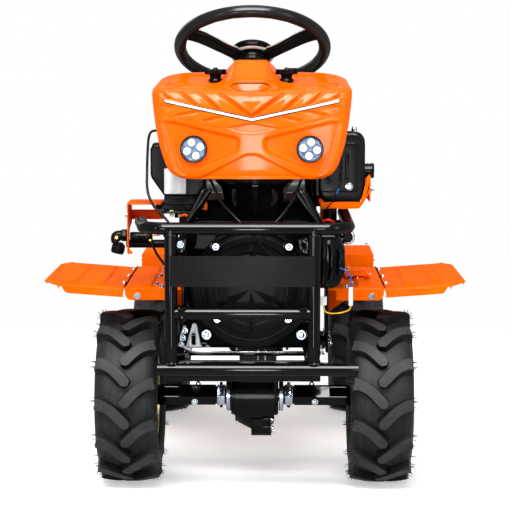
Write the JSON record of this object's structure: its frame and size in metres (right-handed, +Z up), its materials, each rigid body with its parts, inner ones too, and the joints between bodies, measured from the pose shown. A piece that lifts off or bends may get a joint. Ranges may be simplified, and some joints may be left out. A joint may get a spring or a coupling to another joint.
{
  "type": "articulated mini tractor",
  "caption": "Compact four-wheel-drive ride-on farm tractor with front engine, tube guard, foot plates and rear seat, steered by a pivot between its halves.",
  "frame": {"origin": "on the ground, at the middle of the whole tractor's box", "axes": "+Z up, the tractor faces -Y, +X is the driver's left"},
  "size_m": [0.9796, 1.417, 1.1214],
  "materials": {
    "orange_paint": "gloss",
    "black_paint": "gloss",
    "satin_plate": "satin",
    "black_casting": "painted",
    "black_plastic": "satin",
    "cable_black": "satin",
    "wire_blue": "gloss",
    "wire_yellow": "gloss",
    "white_plastic": "satin",
    "lamp": "clear lens over a grey reflector",
    "tyre_rubber": "matt",
    "rim_zinc": "yellow passivated zinc",
    "axle_steel": "black sleeve, zinc half axle",
    "seat_vinyl": "grained vinyl"
  },
  "bodies": {
    "front_frame": {"front_chassis": "black_paint", "guard_upper_bar": "black_paint", "guard_cross_bars": "black_paint", "guard_uprights": "black_paint", "guard_plate": "satin_plate", "engine_mount": "black_paint", "engine": "black_casting", "fan_housing": "black_plastic", "cylinder_cowl": "black_plastic", "air_cleaner": "black_plastic", "muffler": "black_paint", "muffler_guard": "black_plastic", "muffler_bracket": "orange_paint", "column_support": "black_paint", "battery_box": "black_plastic", "fuel_tank": "black_plastic", "hood": "orange_paint", "headlights": "lamp", "hood_knobs": "black_plastic", "steering_column": "black_paint", "steering_link_shaft": "black_paint", "steering_box": "black_casting", "transmission": "black_casting", "front_gearbox": "black_casting", "foot_plate_left": "orange_paint", "foot_plate_right": "orange_paint", "foot_brackets": "orange_paint", "lever_console": "orange_paint", "console_grip": "black_plastic", "gear_lever": "black_paint", "brake_pedal": "black_paint", "lamp_lead_left": "cable_black", "lamp_lead_right": "cable_black", "side_cable": "cable_black", "wire_blue": "wire_blue", "wire_yellow": "wire_yellow", "wire_connectors": "white_plastic"},
    "pivot_knuckle": {"pivot_knuckle": "black_paint"},
    "rear_frame": {"rear_chassis": "black_paint", "rear_gearbox": "black_casting", "rear_deck": "black_paint", "rear_fender_left": "orange_paint", "rear_fender_right": "orange_paint", "seat_mount": "black_paint", "seat_cushion": "seat_vinyl", "seat_backrest": "seat_vinyl", "hitch": "black_paint"},
    "steering_wheel": {"steering_wheel": "black_plastic"},
    "wheel_front_left": {"tyre_front_left": "tyre_rubber", "rim_front_left": "rim_zinc", "axle_front_left": "axle_steel"},
    "wheel_front_right": {"tyre_front_right": "tyre_rubber", "rim_front_right": "rim_zinc", "axle_front_right": "axle_steel"},
    "wheel_rear_left": {"tyre_rear_left": "tyre_rubber", "rim_rear_left": "rim_zinc", "axle_rear_left": "axle_steel"},
    "wheel_rear_right": {"tyre_rear_right": "tyre_rubber", "rim_rear_right": "rim_zinc", "axle_rear_right": "axle_steel"}
  },
  "joints": [
    {"name": "steering_pivot", "type": "hinge", "parent": "front_frame", "child": "pivot_knuckle", "pos_m": [0, 0.0085, 0.325], "axis": [0, 0, 1], "range_deg": [-30, 30]},
    {"name": "frame_roll", "type": "hinge", "parent": "pivot_knuckle", "child": "rear_frame", "pos_m": [0, 0.0885, 0.325], "axis": [0, 1, 0], "range_deg": [-10, 10]},
    {"name": "steering_wheel_turn", "type": "hinge", "parent": "front_frame", "child": "steering_wheel", "pos_m": [-0.008, -0.2415, 1.021], "axis": [0, 0.4848, 0.8746], "range_deg": [-360, 360]},
    {"name": "front_left_spin", "type": "hinge", "parent": "front_frame", "child": "wheel_front_left", "pos_m": [0.2925, -0.3915, 0.203], "axis": [1, 0, 0], "continuous": true},
    {"name": "front_right_spin", "type": "hinge", "parent": "front_frame", "child": "wheel_front_right", "pos_m": [-0.2925, -0.3915, 0.203], "axis": [1, 0, 0], "continuous": true},
    {"name": "rear_left_spin", "type": "hinge", "parent": "rear_frame", "child": "wheel_rear_left", "pos_m": [0.27, 0.3985, 0.203], "axis": [1, 0, 0], "continuous": true},
    {"name": "rear_right_spin", "type": "hinge", "parent": "rear_frame", "child": "wheel_rear_right", "pos_m": [-0.27, 0.3985, 0.203], "axis": [1, 0, 0], "continuous": true}
  ],
  "couplings": [
    {"joint": "steering_wheel_turn", "follows": "steering_pivot", "ratio": -12}
  ]
}
